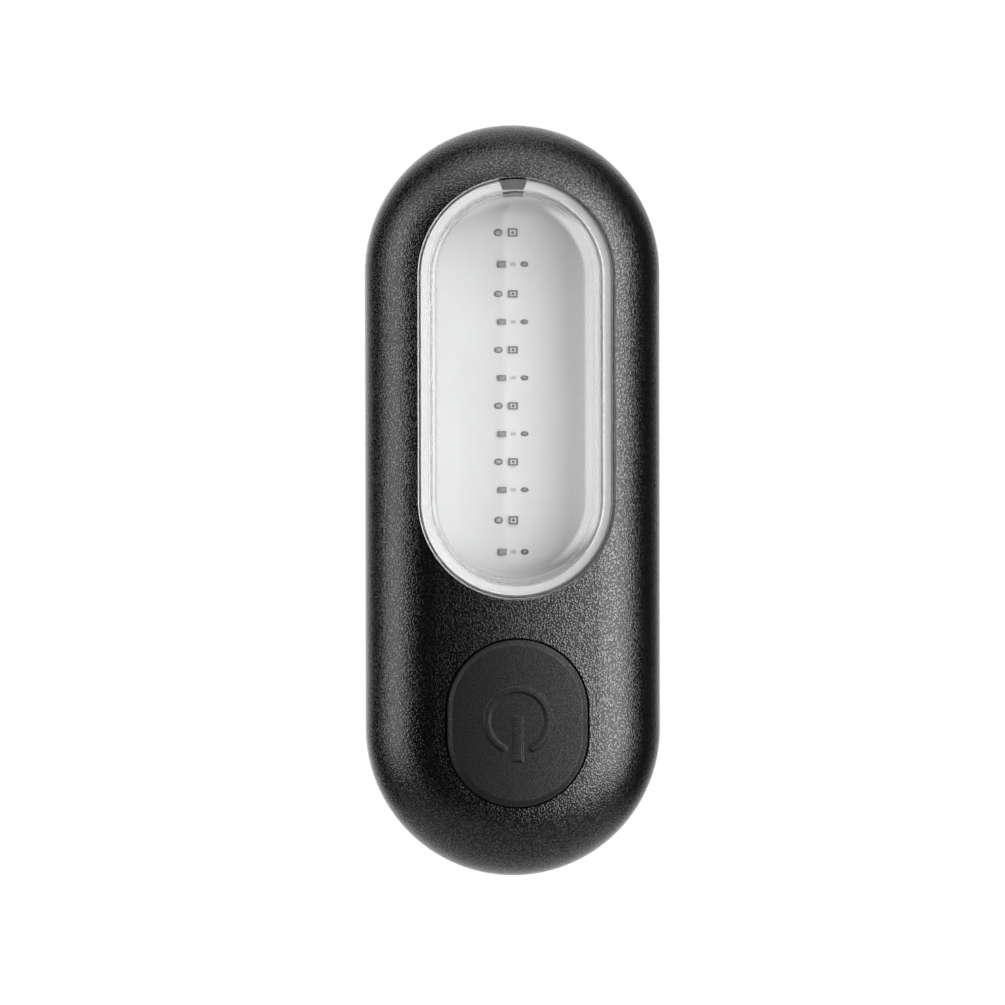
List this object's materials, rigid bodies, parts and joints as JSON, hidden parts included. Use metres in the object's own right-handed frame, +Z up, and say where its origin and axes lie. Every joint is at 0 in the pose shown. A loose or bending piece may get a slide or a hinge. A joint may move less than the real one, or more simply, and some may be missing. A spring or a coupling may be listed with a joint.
{
  "type": "bicycle tail light",
  "caption": "Rechargeable bicycle tail light: stadium-shaped black housing, clear domed lens over an LED strip, power button, and a saddle that straps to a seat post.",
  "frame": {"origin": "lowest line of the saddle's valley, where the seat post bears, at half the light's height", "axes": "+X to the right as the lens is looked at, +Y from the lens towards the seat post, +Z up along the light"},
  "size_m": [0.0294, 0.0271, 0.075],
  "materials": {
    "black_shell": "black ABS with a fine pebble grain",
    "black_button": "black, finer grain than the shell",
    "clear_lens": "clear polished polycarbonate",
    "white_frame": "white reflective plastic",
    "white_board": "white solder mask on glass fibre board",
    "led_package": "LED chip in a pale ceramic package",
    "resistor_body": "grey chip resistor",
    "solder": "dull tin solder",
    "chip_black": "black epoxy chip package",
    "switch_metal": "stamped tin-plated cover",
    "plunger_black": "black moulded plunger",
    "steel": "nickel-plated steel",
    "black_silicone": "black silicone rubber",
    "battery_wrap": "silver laminated pouch",
    "foam": "adhesive foam",
    "red_wire": "red wire insulation",
    "black_wire": "black wire insulation"
  },
  "bodies": {
    "housing": {"front_shell": "black_shell", "rear_shell": "black_shell", "housing_seal": "black_silicone", "saddle_pad": "black_silicone", "lens": "clear_lens", "lens_gasket": "black_silicone", "light_frame": "white_frame", "main_board": "white_board", "led_chips": "led_package", "led_resistors": "resistor_body", "solder_dots": "solder", "controller_chips": "chip_black", "case_screws": "steel", "button_gasket": "black_silicone", "switch_body": "switch_metal", "usb_socket": "steel", "usb_tongue": "chip_black", "cover_anchor": "black_silicone", "battery_cell": "battery_wrap", "battery_foam": "foam", "lead_red": "red_wire", "lead_black": "black_wire"},
    "button": {"power_button": "black_button"},
    "plunger": {"switch_plunger": "plunger_black"},
    "port_cover": {"usb_cover": "black_silicone"}
  },
  "joints": [
    {"name": "button_press", "type": "slide", "parent": "housing", "child": "button", "axis": [0, 1, 0], "range_m": [0, 0.0003], "stiffness_N_per_m": 150},
    {"name": "switch_travel", "type": "slide", "parent": "housing", "child": "plunger", "axis": [0, 1, 0], "range_m": [0, 0.0003]},
    {"name": "port_cover_swing", "type": "hinge", "parent": "housing", "child": "port_cover", "pos_m": [-0.00621, -0.00827, -0.03612], "axis": [0, 1, 0], "range_deg": [0, 100], "stiffness_Nm_per_rad": 0.0002, "springref_deg": -8.59}
  ],
  "couplings": [
    {"joint": "switch_travel", "follows": "button_press", "ratio": 1}
  ]
}
